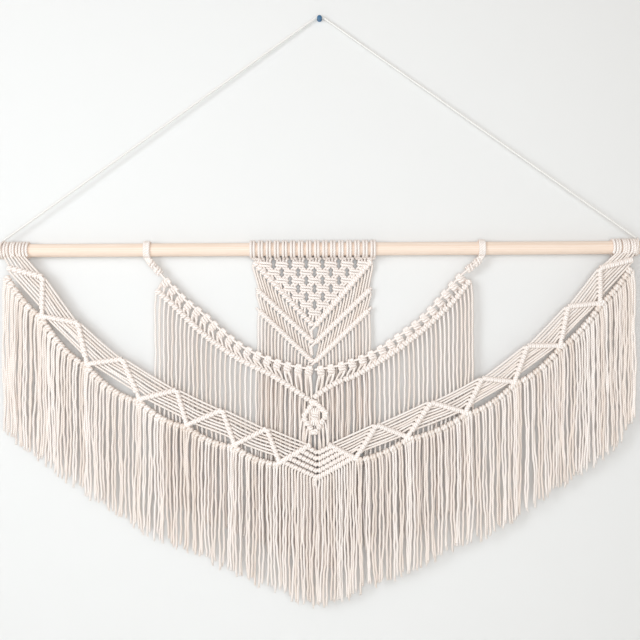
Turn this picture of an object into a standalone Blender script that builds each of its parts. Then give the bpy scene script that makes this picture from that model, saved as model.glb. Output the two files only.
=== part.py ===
"""Macrame wall hanging: a knotted cotton curtain in three layers on a round pine dowel, hung by one
cord over a push pin.

Frame: origin on the wall's surface at the push pin, +X to the viewer's right, +Z up, the wall at y = 0 and
the hanging on its -Y side.  Plans are in millimetres from the origin; M turns them into metres.
"""

import math

import bmesh
import bpy
from mathutils import Matrix, Vector

M = 0.001
GAP = 0.35                      # clearance between touching pieces
SLACK = 0.3                     # added to it under a slanting line

# ------------------------------------------------------------------ driving dimensions, mm
CORD = 4.0                      # cotton cord
CORD_R = CORD / 2
KNOT_R = 4.5                    # half the thickness of a row of hitches
SENNIT_R = 5.0                  # half the thickness of the swag's chain of square knots

DOWEL_R = 12.5
DOWEL_LENGTH = 1225.0
DOWEL_Y = -17.0                 # leaves one cord between the dowel and the wall
DOWEL_Z = -443.0
WRAP_R = DOWEL_R + CORD         # outside of the cord wound on the dowel
WRAP_BORE_R = 13.0              # clears the dowel's corners as it rolls
UNDER_DOWEL = DOWEL_Z - WRAP_R - GAP - 0.5

CENTRE_Y = -9.0                 # planes that the three layers hang in
MIDDLE_Y = -18.4
LOWER_Y = -27.8

HANG_Y = -6.5                   # the cord's plane at the pin
WAIST_R = 2.5
BIGHT_BEND = 8.0                # bend radius of the cord over the pin: two diameters
BIGHT_Z = WAIST_R + GAP + CORD_R
BIGHT_REACH = 20.0              # straight stretch on each side that stays at the pin
LEG_GAP = 1.2                   # lets the legs tip outward from the pin
LEG_STEPS = 36

# Spans on the dowel, left to right: hanger hitch, lower layer, middle layer, centre layer
HITCH_SPANS = {"left": (-609.0, -601.0), "right": (596.0, 604.0)}
LOWER_SPANS = {"left": (-600.4, -560.0), "right": (559.0, 595.4)}
MIDDLE_SPANS = {"left": (-336.0, -324.0), "right": (300.0, 312.0)}
CENTRE_SPAN = (-137.0, 107.0)
CENTRE_KNOTS = 16

# Lower layer.  The band's cords run between these: stations on its lower edge, where two scallops meet, and
# on its upper edge, where two bars of the zigzag meet.  Both run from the dowel's end towards the middle.
VALLEYS = {
    "left": [(-595, -487), (-528, -568), (-443, -659), (-344, -726), (-255, -775), (-165, -813), (-80, -847)],
    "right": [(587, -478), (528, -549), (452, -629), (365, -697), (272, -754), (162, -800), (64, -840)],
}
PEAKS = {
    "left": [(-526, -494), (-460, -581), (-376, -650), (-274, -709), (-188, -747), (-104, -783), (-21, -813)],
    "right": [(528, -483), (467, -555), (390, -629), (304, -690), (207, -735), (104, -777), (13, -813)],
}
END_BARS = {"left": [(-593, -476), (-560, -481), (-530, -488)], "right": [(590, -467), (562, -471), (534, -477)]}
SCALLOP_SAG = 12.0
SCALLOP_R = 3.0                 # the holding cord with the lark's heads on it
SCALLOP_DROP = 1.6              # how far it hangs below the band's edge, in its own half thicknesses
SCALLOP_CLEAR = 1.6             # room for its sag over the fringe
BAND_STEP = 1.0                 # the band stops this far short of the chevron
LAST_BAR = 0.9                  # the share of the last bar that stays clear of the chevron
CHEVRON_TIP = (-8, -880)
CHEVRON_NOTCH = (-8, -822)
CHEVRON_THICK = 9.0
FRINGE_LINE = [(-601, -787), (-545, -832), (-469, -889), (-397, -940), (-331, -982), (-255, -1018),
               (-182, -1051), (-108, -1085), (-57, -1106), (-4, -1122), (78, -1092), (144, -1068),
               (234, -1022), (325, -982), (418, -922), (481, -880), (557, -821), (598, -768)]
FRINGE_THICK = 4.4
EDGE_CLEAR = 1.0                # a bay's upright edges stand this far inside its stations

# Middle layer
SWAG = {
    "left": [(-330, -465), (-316, -481), (-264, -538), (-224, -570), (-182, -608), (-139, -638), (-78, -663),
             (-13, -676)],
    "right": [(306, -465), (296, -475), (262, -504), (207, -566), (173, -595), (104, -642), (38, -667),
              (-12, -676)],
}
HITCH_LINE = {
    "left": [(-313, -519), (-281, -548), (-236, -593), (-192, -628), (-150, -655), (-99, -680), (-65, -701),
             (-26, -728)],
    "right": [(284, -504), (258, -537), (228, -567), (198, -594), (168, -618), (138, -640), (72, -680),
              (30, -697), (-3, -717)],
}
HITCH_R = 3.6
SHORT_EDGES = (-288.0, 258.0)   # the cords between the swag and the hitched line fill this span
DIAMOND = [(-14, -733), (-35, -762), (-14, -795), (11, -757)]
DIAMOND_THICK = 8.0
DIAMOND_CLEAR = 2.0
MIDDLE_EDGES = (-322.0, 291.0)
MIDDLE_RISE = 70.0              # how far this layer's fringe ends above the front fringe

# Centre layer: three V-shaped rows of hitches, each as left corner, tip and right corner
VEES = [
    [(-128, -466), (-13, -591), (97, -466)],
    [(-124, -517), (-13, -623), (97, -517)],
    [(-124, -554), (-14, -660), (97, -554)],
]
CENTRE_EDGES = (-127.0, 100.0)
CENTRE_BOTTOM = -1010.0
NET_THICK = 7.0
NET_INSET = 4.0                 # the net's upper corners
STRANDS_INSET = 8.0             # the edges of the short strands between two V rows
FRINGE_INSET = 2.0
ROW_CLEAR = 1.0
TIP_CLEAR = 5.8                 # the two arms of a V stop this far short of its tip

ROUND_STEPS = 24


# ------------------------------------------------------------------ materials and collections
def material(name, colour, roughness, metallic=0.0):
    mat = bpy.data.materials.new(name)
    mat.use_nodes = True
    shader = mat.node_tree.nodes["Principled BSDF"]
    shader.inputs["Base Color"].default_value = (*colour, 1)
    shader.inputs["Roughness"].default_value = roughness
    shader.inputs["Metallic"].default_value = metallic
    return mat


for old in list(bpy.data.objects):
    bpy.data.objects.remove(old)
parts = bpy.data.collections.new("macrame_wall_hanging")
bpy.context.scene.collection.children.link(parts)

COTTON = material("cotton", (0.86, 0.80, 0.72), 0.9)
KNOTTED = material("knotted_cotton", (0.90, 0.86, 0.79), 0.9)
PINE = material("pine", (0.87, 0.70, 0.50), 0.55)
BLUE = material("blue_plastic", (0.05, 0.16, 0.42), 0.35)
STEEL = material("steel", (0.62, 0.62, 0.62), 0.3, 1.0)

PIN = Vector((0, 0, 0))
HANG = Vector((0, HANG_Y, 0)) * M
DOWEL_AXIS = Vector((0, DOWEL_Y, DOWEL_Z)) * M
UPRIGHT = Matrix.Rotation(math.pi / 2, 4, "X")          # a plan's XY plane becomes the world's XZ plane
ALONG_X = Matrix.Rotation(math.pi / 2, 4, "Y")          # a turned piece's axis lies along the world's X
TOWARDS_VIEWER = Matrix.Rotation(math.pi / 2, 4, "X")   # a turned piece's top faces -Y


def keep(source, name, pivot, place, mat, smooth=True):
    """Turn a built object into one welded mesh, put it in the world, with its origin on its joint's axis."""
    bpy.context.view_layer.update()
    mesh = bpy.data.meshes.new_from_object(source.evaluated_get(bpy.context.evaluated_depsgraph_get()))
    bpy.data.objects.remove(source)
    work = bmesh.new()
    work.from_mesh(mesh)
    bmesh.ops.remove_doubles(work, verts=work.verts, dist=0.00001)
    bmesh.ops.transform(work, matrix=Matrix.Translation(-pivot) @ place, verts=work.verts)
    bmesh.ops.recalc_face_normals(work, faces=work.faces)
    work.to_mesh(mesh)
    work.free()
    mesh.name = name
    mesh.materials.clear()
    mesh.materials.append(mat)
    if smooth:
        mesh.shade_smooth()
        mesh.set_sharp_from_angle(angle=math.radians(40))
    obj = bpy.data.objects.new(name, mesh)
    obj.location = pivot
    parts.objects.link(obj)
    return obj


def linked(name, data):
    obj = bpy.data.objects.new(name, data)
    parts.objects.link(obj)
    return obj


# ------------------------------------------------------------------ ways to make a piece
def tube(name, points, radius, pivot, mat=KNOTTED):
    """A round tube along points (x, y, z) in mm."""
    curve = bpy.data.curves.new(name, "CURVE")
    curve.dimensions = "3D"
    curve.bevel_depth = radius * M
    curve.bevel_resolution = 2
    curve.use_fill_caps = True
    spline = curve.splines.new("POLY")
    spline.points.add(len(points) - 1)
    for point, place in zip(spline.points, points):
        point.co = (*(Vector(place) * M), 1)
    return keep(linked("raw", curve), name, pivot, Matrix(), mat)


def slab(name, outline, y, thickness, pivot, mat=COTTON):
    """A flat piece with the outline (x, z) in mm, centred on the plane y."""
    curve = bpy.data.curves.new(name, "CURVE")
    curve.dimensions = "2D"
    curve.fill_mode = "BOTH"
    curve.extrude = thickness / 2 * M
    spline = curve.splines.new("POLY")
    spline.points.add(len(outline) - 1)
    spline.use_cyclic_u = True
    for point, (x, z) in zip(spline.points, outline):
        point.co = (x * M, z * M, 0, 1)
    place = Matrix.Translation((0, y * M, 0)) @ UPRIGHT
    return keep(linked("raw", curve), name, pivot, place, mat, smooth=False)


def turned(name, profile, place, pivot, mat, closed=False):
    """A turned piece: profile is (radius, height) in mm, down the outer side, closed into a ring if asked."""
    mesh = bpy.data.meshes.new(name)
    edges = [(i, i + 1) for i in range(len(profile) - 1)]
    if closed:
        edges.append((len(profile) - 1, 0))
    mesh.from_pydata([(r * M, 0, h * M) for r, h in profile], edges, [])
    obj = linked("raw", mesh)
    screw = obj.modifiers.new("turn", "SCREW")
    screw.steps = screw.render_steps = ROUND_STEPS
    screw.use_merge_vertices = True
    screw.merge_threshold = 0.00001
    return keep(obj, name, pivot, place, mat)


# ------------------------------------------------------------------ plan geometry
def smooth_route(points, per_span):
    """A curve through the points, per_span steps from one to the next."""
    points = [Vector(p) for p in points]
    ends = [points[0] * 2 - points[1]] + points + [points[-1] * 2 - points[-2]]
    route = []
    for i in range(1, len(ends) - 2):
        a, b, c, d = ends[i - 1:i + 3]
        for step in range(per_span):
            t = step / per_span
            route.append(0.5 * (2 * b + (c - a) * t + (2 * a - 5 * b + 4 * c - d) * t * t
                                + (3 * b - a - 3 * c + d) * t ** 3))
    return route + [points[-1]]


def beside(points, distance):
    """The line at a distance to the right of a plan line, seen along it, with mitred corners."""
    points = [Vector(p) for p in points]
    sides = []
    for a, b in zip(points, points[1:]):
        along = (b - a).normalized()
        sides.append(Vector((along.y, -along.x)))
    line = [points[0] + sides[0] * distance]
    for point, before, after in zip(points[1:], sides, sides[1:]):
        line.append(point + (before + after) * distance / (1 + before.dot(after)))
    return line + [points[-1] + sides[-1] * distance]


def height(line, x):
    """The height of a plan line at x; beyond its ends it stays level."""
    line = sorted(((p[0], p[1]) for p in line))
    if x <= line[0][0]:
        return line[0][1]
    for (x0, z0), (x1, z1) in zip(line, line[1:]):
        if x <= x1:
            return z0 + (z1 - z0) * (x - x0) / max(x1 - x0, 1e-6)
    return line[-1][1]


def hanging(top, x0, x1, bottom):
    """Outline of the fringe under a plan line, between two upright edges."""
    def edge(line):
        inner = sorted((p[0], p[1]) for p in line if x0 + 1 < p[0] < x1 - 1)
        return [(x0, height(line, x0)), *inner, (x1, height(line, x1))]
    return edge(top) + edge(bottom)[::-1]


def raised(line, rise):
    return [(x, z + rise) for x, z in line]


def in_plane(points, y):
    return [(p[0], y, p[1]) for p in points]


def below(points, distance):
    """The line at a distance under a plan line, whichever way it runs."""
    runs_right = points[-1][0] > points[0][0]
    return beside(points, distance if runs_right else -distance)


# ------------------------------------------------------------------ push pin
def build_pin():
    head = [(0, 14.2), (2.6, 14.0), (4.3, 13.2), (4.75, 12.0), (4.6, 10.6), (WAIST_R, 9.6), (WAIST_R, 3.2),
            (4.4, 2.4), (4.9, 1.8), (4.9, 0.6), (0, 0.6)]
    needle = [(0, 0.25), (0.6, 0.25), (0.6, -8.0), (0, -10.8)]
    turned("pin_head", head, TOWARDS_VIEWER, PIN, BLUE)
    turned("pin_needle", needle, TOWARDS_VIEWER, PIN, STEEL)


# ------------------------------------------------------------------ hanger cord and its hitches
def hanger_ends():
    """Where each leg meets the hitch below it."""
    top = DOWEL_Z + WRAP_R + GAP + CORD_R
    return {side: Vector((sum(span) / 2, DOWEL_Y, top)) for side, span in HITCH_SPANS.items()}


def build_hanger():
    ends = hanger_ends()
    crown = Vector((0, HANG_Y, BIGHT_Z - BIGHT_BEND))
    bight = {}
    for side, end in ends.items():
        sign = -1 if side == "left" else 1
        slope = math.atan2(crown.z + BIGHT_BEND - end.z, abs(end.x))
        arc = [crown + BIGHT_BEND * Vector((sign * math.sin(a), 0, math.cos(a)))
               for a in (slope * i / 3 for i in range(4))]
        along = (end - arc[-1]).normalized()
        stop = arc[-1] + along * BIGHT_REACH
        bight[side] = arc + [stop]
        start = stop + along * LEG_GAP
        leg = [start.lerp(end, i / LEG_STEPS) for i in range(LEG_STEPS + 1)]
        tube(f"hanger_cord_{side}", leg, CORD_R, HANG, COTTON)
        x0, x1 = HITCH_SPANS[side]
        ring(f"hanger_hitch_{side}", x0, x1, 2, HANG)
    tube("hanger_cord_bight", bight["left"][::-1] + bight["right"][1:], CORD_R, HANG, COTTON)


def ring(name, x0, x1, cords, pivot):
    """Cord wound on the dowel from x0 to x1, one rounded rib for each turn."""
    pitch = (x1 - x0) / cords
    outer = []
    for i in range(cords):
        start = x1 - i * pitch
        outer += [(WRAP_R - 1.4, start), (WRAP_R, start - pitch * 0.3), (WRAP_R, start - pitch * 0.7)]
    outer.append((WRAP_R - 1.4, x0))
    profile = outer + [(WRAP_BORE_R, x0), (WRAP_BORE_R, x1)]
    place = Matrix.Translation((0, DOWEL_Y * M, DOWEL_Z * M)) @ ALONG_X
    turned(name, profile, place, pivot, KNOTTED, closed=True)


# ------------------------------------------------------------------ dowel
def build_dowel():
    bpy.ops.mesh.primitive_cylinder_add(vertices=32, radius=DOWEL_R * M, depth=DOWEL_LENGTH * M)
    cylinder = bpy.context.object
    bevel = cylinder.modifiers.new("eased ends", "BEVEL")
    bevel.width = 0.8 * M
    bevel.segments = 1
    bevel.limit_method = "ANGLE"
    bevel.angle_limit = math.radians(60)
    place = Matrix.Translation((0, DOWEL_Y * M, DOWEL_Z * M)) @ ALONG_X
    keep(cylinder, "dowel", DOWEL_AXIS, place, PINE)


# ------------------------------------------------------------------ centre layer
def build_centre_layer():
    ring("centre_larks_heads", *CENTRE_SPAN, CENTRE_KNOTS, DOWEL_AXIS)
    clear = KNOT_R + GAP
    left, tip, right = VEES[0]
    inside = beside([left, tip, right], -clear)
    net = [(inside[0].x + NET_INSET, UNDER_DOWEL), inside[1], (inside[2].x - NET_INSET, UNDER_DOWEL)]
    slab("centre_knot_net", net, CENTRE_Y, NET_THICK, DOWEL_AXIS, KNOTTED)
    for number, (left, tip, right) in enumerate(VEES, start=1):
        for side, corner in (("left", left), ("right", right)):
            arm = Vector(tip) - Vector(corner)
            foot = Vector(tip) - arm.normalized() * TIP_CLEAR
            path = smooth_route([corner, foot], 6)
            tube(f"centre_vee_{number}_{side}", in_plane(path, CENTRE_Y), KNOT_R, DOWEL_AXIS)
    for number in (1, 2):
        upper = beside(VEES[number - 1], clear + ROW_CLEAR)
        lower = beside(VEES[number], -clear)
        x0, x1 = CENTRE_EDGES
        across = [x0 + STRANDS_INSET, upper[1].x, x1 - STRANDS_INSET]
        top = [(across[0], height(upper, across[0])), tuple(upper[1]), (across[2], height(upper, across[2]))]
        bottom = [(across[2], height(lower, across[2])), tuple(lower[1]), (across[0], height(lower, across[0]))]
        slab(f"centre_strands_{number}", top + bottom, CENTRE_Y, CORD, DOWEL_AXIS)
    x0, x1 = CENTRE_EDGES
    top = beside(VEES[2], clear + ROW_CLEAR)
    bottom = [(x0, CENTRE_BOTTOM), (x1, CENTRE_BOTTOM)]
    outline = hanging(top, x0 + FRINGE_INSET, x1 - FRINGE_INSET, bottom)
    slab("centre_fringe", outline, CENTRE_Y, FRINGE_THICK, DOWEL_AXIS)


# ------------------------------------------------------------------ middle layer
def build_middle_layer():
    swag, hitches = {}, {}
    for side in ("left", "right"):
        ring(f"middle_larks_head_{side}", *MIDDLE_SPANS[side], 2, DOWEL_AXIS)
        swag[side] = smooth_route(SWAG[side], 3)
        hitches[side] = smooth_route(HITCH_LINE[side], 3)
    swag["left"][-1].x -= GAP
    swag["right"][-1].x += GAP
    for side in ("left", "right"):
        tube(f"swag_sennit_{side}", in_plane(swag[side], MIDDLE_Y), SENNIT_R, DOWEL_AXIS)
        tube(f"swag_hitches_{side}", in_plane(hitches[side], MIDDLE_Y), HITCH_R, DOWEL_AXIS)

    drop = SENNIT_R + GAP + SLACK
    under_swag = [*below(swag["left"], drop), *below(swag["right"], drop)[::-1]]
    over_hitches = [*below(hitches["left"], -HITCH_R - GAP), *below(hitches["right"], -HITCH_R - GAP)[::-1]]
    short = hanging(under_swag, *SHORT_EDGES, over_hitches)
    slab("middle_strands", short, MIDDLE_Y, CORD, DOWEL_AXIS)

    slab("diamond", DIAMOND, MIDDLE_Y, DIAMOND_THICK, DOWEL_AXIS, KNOTTED)
    bottom = raised(FRINGE_LINE, MIDDLE_RISE)
    x_left, x_right = MIDDLE_EDGES
    spans = {"left": (x_left, DIAMOND[1][0] - DIAMOND_CLEAR), "right": (DIAMOND[3][0] + DIAMOND_CLEAR, x_right)}
    for side, (x0, x1) in spans.items():
        top = below(hitches[side], HITCH_R + GAP + SLACK)
        slab(f"middle_fringe_{side}", hanging(top, x0, x1, bottom), MIDDLE_Y, FRINGE_THICK, DOWEL_AXIS)


# ------------------------------------------------------------------ lower layer
def scallop(start, end, steps=8):
    """The holding cord of one scallop, hung from station to station below the band's edge."""
    start, end = Vector(start), Vector(end)
    drop = Vector((0, -(SCALLOP_R + GAP) * SCALLOP_DROP))
    return [start.lerp(end, i / steps) + drop + Vector((0, -4 * SCALLOP_SAG * (i / steps) * (1 - i / steps)))
            for i in range(steps + 1)]


def build_lower_layer():
    for side in ("left", "right"):
        valleys, peaks, bar = VALLEYS[side], PEAKS[side], END_BARS[side]
        step = Vector((-BAND_STEP if side == "left" else BAND_STEP, 0))
        ring(f"lower_larks_heads_{side}", *LOWER_SPANS[side], 5, DOWEL_AXIS)
        tube(f"end_bar_{side}", in_plane(bar, LOWER_Y), KNOT_R, DOWEL_AXIS)

        under_bar = below(bar, KNOT_R + GAP)
        inner_end = [Vector(valleys[-1]) + step, Vector(peaks[-1]) + step]
        outline = [under_bar[0], *valleys[1:-1], *inner_end, *peaks[-2:0:-1], under_bar[-1], under_bar[1]]
        slab(f"band_{side}", outline, LOWER_Y, CORD, DOWEL_AXIS)

        zigzag = []
        for peak, valley in zip(peaks[:-1], valleys[1:]):
            zigzag += [peak, valley]
        zigzag[-1] = Vector(peaks[-2]).lerp(Vector(valleys[-1]), LAST_BAR)
        ridge_r = CORD_R
        ridge_y = LOWER_Y - CORD_R - GAP - ridge_r
        tube(f"zigzag_bars_{side}", in_plane(zigzag, ridge_y), ridge_r, DOWEL_AXIS)

        scallops = [scallop(a, b) for a, b in zip(valleys, valleys[1:])]
        whole = [p for i, s in enumerate(scallops) for p in (s if i == 0 else s[1:])]
        tube(f"scallop_cord_{side}", in_plane(whole, LOWER_Y), SCALLOP_R, DOWEL_AXIS)
        for number, points in enumerate(scallops, start=1):
            edges = sorted((points[0].x, points[-1].x))
            if number == 1:
                edges = sorted((points[-1].x, FRINGE_LINE[0 if side == "left" else -1][0]))
            top = below(points, SCALLOP_R + GAP + SCALLOP_CLEAR)
            outline = hanging(top, edges[0] + EDGE_CLEAR, edges[1] - EDGE_CLEAR, FRINGE_LINE)
            slab(f"fringe_bay_{number}_{side}", outline, LOWER_Y, FRINGE_THICK, DOWEL_AXIS)

    left, right = Vector(VALLEYS["left"][-1]), Vector(VALLEYS["right"][-1])
    chevron = [left, CHEVRON_TIP, right, PEAKS["right"][-1], CHEVRON_NOTCH, PEAKS["left"][-1]]
    slab("chevron", chevron, LOWER_Y, CHEVRON_THICK, DOWEL_AXIS, KNOTTED)
    under = beside([left, CHEVRON_TIP, right], GAP + SLACK)
    skirt = hanging(under, left.x + EDGE_CLEAR, right.x - EDGE_CLEAR, FRINGE_LINE)
    slab("centre_skirt", skirt, LOWER_Y, FRINGE_THICK, DOWEL_AXIS)


build_pin()
build_hanger()
build_dowel()
build_centre_layer()
build_middle_layer()
build_lower_layer()
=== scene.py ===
"""Looks of the macrame wall hanging: every cord, wrap and knot of its three layers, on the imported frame.

Plans are in millimetres in the frame's own axes: x to the viewer's right, z up, the wall at y = 0 and the
hanging on its -y side.  M turns them into metres.
"""

import math

import bpy
import numpy as np
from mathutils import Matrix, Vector


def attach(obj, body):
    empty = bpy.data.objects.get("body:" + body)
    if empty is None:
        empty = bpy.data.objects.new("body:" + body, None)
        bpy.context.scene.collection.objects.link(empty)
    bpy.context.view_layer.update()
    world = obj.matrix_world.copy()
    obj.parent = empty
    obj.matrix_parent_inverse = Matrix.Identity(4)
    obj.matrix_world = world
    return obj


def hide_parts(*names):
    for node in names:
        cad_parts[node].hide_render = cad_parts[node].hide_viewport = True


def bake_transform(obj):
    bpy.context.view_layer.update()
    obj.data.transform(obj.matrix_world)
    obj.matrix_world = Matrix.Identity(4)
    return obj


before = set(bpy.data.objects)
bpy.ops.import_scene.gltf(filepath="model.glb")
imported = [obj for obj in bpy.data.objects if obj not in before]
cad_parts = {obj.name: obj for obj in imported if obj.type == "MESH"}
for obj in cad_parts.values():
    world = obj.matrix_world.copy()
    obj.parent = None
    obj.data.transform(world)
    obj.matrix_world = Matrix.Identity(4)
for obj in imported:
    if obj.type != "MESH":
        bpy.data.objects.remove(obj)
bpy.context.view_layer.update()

M = 0.001

# ------------------------------------------------------------------ driving sizes, mm, as in the CAD model
CORD_R = 2.05
CAD_CORD_R = 2.0                # the CAD's own cord, on which the hanger's route is laid
GAP = 0.35                      # air the CAD leaves between a cord and what it passes over
PLY_LAY = 13.0                  # length in which the cord's three plies turn once
DOWEL_R = 12.5
WOUND_R = DOWEL_R + 4.0         # outside of a cord wound on the dowel
HEAD_R = DOWEL_R + 2.3          # centreline of the lark's heads on the dowel
DOWEL_Y, DOWEL_Z = -17.0, -443.0
CENTRE_Y, MIDDLE_Y, LOWER_Y = -9.0, -18.4, -27.8
HANG_Y = -6.5
PIN_WAIST_R = 2.5

HITCH_SPANS = {"left": (-609.0, -601.0), "right": (596.0, 604.0)}
LOWER_SPANS = {"left": (-602.0, -554.0), "right": (553.0, 597.0)}
MIDDLE_SPANS = {"left": (-336.0, -324.0), "right": (300.0, 312.0)}
CENTRE_SPAN = (-137.0, 107.0)

VALLEYS = {
    "left": [(-595, -487), (-528, -568), (-443, -659), (-344, -726), (-255, -775), (-165, -813), (-80, -847)],
    "right": [(587, -478), (528, -549), (452, -629), (365, -697), (272, -754), (162, -800), (64, -840)],
}
PEAKS = {
    "left": [(-526, -494), (-460, -581), (-376, -650), (-274, -709), (-188, -747), (-104, -783), (-21, -813)],
    "right": [(528, -483), (467, -555), (390, -629), (304, -690), (207, -735), (104, -777), (13, -813)],
}
END_BAR_LOW = {"left": (-593, -476), "right": (590, -467)}
SCALLOP_SAG = {"left": (35, 52, 50, 38, 31, 28), "right": (19, 31, 38, 36, 30, 28)}
CHEVRON_TIP = (-8, -880)
CHEVRON_NOTCH = (-8, -822)
FRINGE_LINE = [(-601, -787), (-545, -832), (-469, -889), (-397, -940), (-331, -982), (-255, -1018),
               (-182, -1051), (-108, -1085), (-57, -1106), (-4, -1122), (78, -1092), (144, -1068),
               (234, -1022), (325, -982), (418, -922), (481, -880), (557, -821), (598, -768)]

SWAG = {
    "left": [(-330, -465), (-316, -481), (-264, -538), (-224, -570), (-182, -608), (-139, -638), (-78, -663),
             (-13, -676)],
    "right": [(306, -465), (296, -475), (262, -504), (207, -566), (173, -595), (104, -642), (38, -667),
              (-12, -676)],
}
HITCH_LINE = {
    "left": [(-313, -519), (-281, -548), (-236, -593), (-192, -628), (-150, -655), (-99, -680), (-65, -701),
             (-26, -728)],
    "right": [(284, -504), (258, -537), (228, -567), (198, -594), (168, -618), (138, -640), (72, -680),
              (30, -697), (-3, -717)],
}
DIAMOND = [(-14, -733), (-35, -762), (-14, -795), (11, -757)]
MIDDLE_RISE = 70.0
VEES = [
    [(-128, -466), (-13, -591), (97, -466)],
    [(-124, -517), (-13, -623), (97, -517)],
    [(-124, -554), (-14, -660), (97, -554)],
]
CENTRE_BOTTOM = -1010.0

FRONT = np.array((0.0, -1.0, 0.0))
DOWN = np.array((0.0, 0.0, -1.0))
rng = np.random.default_rng(612)


# ------------------------------------------------------------------ camera
def make_camera():
    data = bpy.data.cameras.new("camera")
    data.lens = 50
    data.sensor_width = 36
    camera = bpy.data.objects.new("camera", data)
    bpy.context.scene.collection.objects.link(camera)
    camera.location = (-0.002, -1.71, -0.578)
    camera.rotation_euler = (math.radians(90), math.radians(0.3), 0)
    bpy.context.scene.camera = camera


make_camera()


# ------------------------------------------------------------------ lines and curves
def spot(p, y):
    """A plan point (x, z) on the plane y."""
    return np.array((p[0], y, p[1]), dtype=float)


def smooth(points, spacing):
    """An even walk along the smooth curve through the points."""
    p = np.array(points, dtype=float)
    ends = np.vstack((2 * p[0] - p[1], p, 2 * p[-1] - p[-2]))
    t = np.linspace(0, 1, 9)[:-1, None]
    a, b, c, d = (ends[i:len(ends) - 3 + i][:, None, :] for i in range(4))
    curve = 0.5 * (2 * b + (c - a) * t + (2 * a - 5 * b + 4 * c - d) * t ** 2
                   + (3 * b - a - 3 * c + d) * t ** 3)
    curve = np.vstack((curve.reshape(-1, 3), p[-1]))
    steps = np.linalg.norm(np.diff(curve, axis=0), axis=1)
    curve = curve[np.concatenate(([True], steps > 1e-6))]
    run = np.concatenate(([0], np.cumsum(np.linalg.norm(np.diff(curve, axis=0), axis=1))))
    count = max(2, int(round(run[-1] / spacing)))
    at = np.linspace(0, run[-1], count + 1)
    return np.stack([np.interp(at, run, curve[:, k]) for k in range(3)], axis=1)


def height(line, x):
    line = sorted(line)
    return float(np.interp(x, [p[0] for p in line], [p[1] for p in line]))


def unit(v):
    return v / np.linalg.norm(v)


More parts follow.
